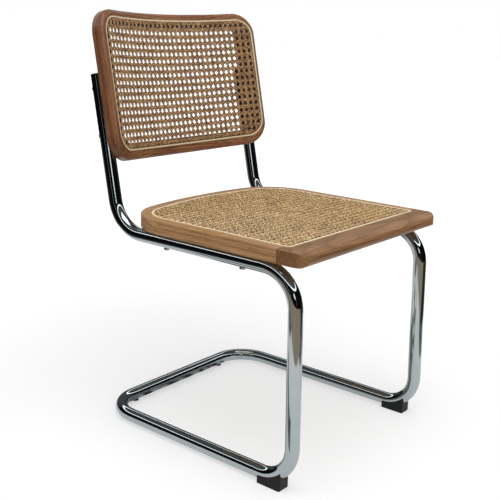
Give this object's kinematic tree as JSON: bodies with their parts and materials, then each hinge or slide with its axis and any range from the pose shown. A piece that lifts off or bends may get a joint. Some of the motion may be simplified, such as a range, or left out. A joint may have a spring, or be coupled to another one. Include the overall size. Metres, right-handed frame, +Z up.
{
  "type": "cantilever chair",
  "caption": "Cantilever dining chair: a bent chromed tube with no rear legs carries a wooden seat frame and a curved wooden back frame, each filled with woven cane.",
  "frame": {"origin": "on the floor under the middle of the chair's bounding box", "axes": "+Z up, the front of the seat towards -Y, X across the chair; left in a node's name is -X, as seen by someone who stands in front"},
  "size_m": [0.46, 0.5512, 0.7961],
  "materials": {
    "chromed_tube": "polished chrome plating",
    "black_plastic": "moulded, fine grain",
    "seat_wood": "satin lacquer on bent beech",
    "front_rail_wood": "satin lacquer on beech",
    "back_wood": "satin lacquer on bent beech",
    "seat_cane": "woven rattan skin",
    "back_cane": "woven rattan skin",
    "reed": "smooth rattan core",
    "screw_steel": "zinc plated",
    "sleeve_brass": "machined",
    "dowel_wood": "plain beech"
  },
  "bodies": {
    "root": {"tube_frame": "chromed_tube", "upper_plug_left": "black_plastic", "upper_plug_right": "black_plastic", "front_foot_left": "black_plastic", "front_foot_right": "black_plastic", "rear_glide_left": "black_plastic", "rear_glide_right": "black_plastic", "seat_bent_rail": "seat_wood", "seat_front_rail": "front_rail_wood", "back_frame": "back_wood", "seat_cane": "seat_cane", "back_cane": "back_cane", "seat_spline": "reed", "back_spline": "reed", "seat_screw_left_front": "screw_steel", "seat_insert_left_front": "sleeve_brass", "seat_screw_left_rear": "screw_steel", "seat_insert_left_rear": "sleeve_brass", "back_screw_left_high": "screw_steel", "back_insert_left_high": "sleeve_brass", "back_screw_left_low": "screw_steel", "back_insert_left_low": "sleeve_brass", "seat_dowel_left_outer": "dowel_wood", "seat_dowel_left_inner": "dowel_wood", "foot_screw_left": "screw_steel", "seat_screw_right_front": "screw_steel", "seat_insert_right_front": "sleeve_brass", "seat_screw_right_rear": "screw_steel", "seat_insert_right_rear": "sleeve_brass", "back_screw_right_high": "screw_steel", "back_insert_right_high": "sleeve_brass", "back_screw_right_low": "screw_steel", "back_insert_right_low": "sleeve_brass", "seat_dowel_right_outer": "dowel_wood", "seat_dowel_right_inner": "dowel_wood", "foot_screw_right": "screw_steel"}
  },
  "joints": []
}
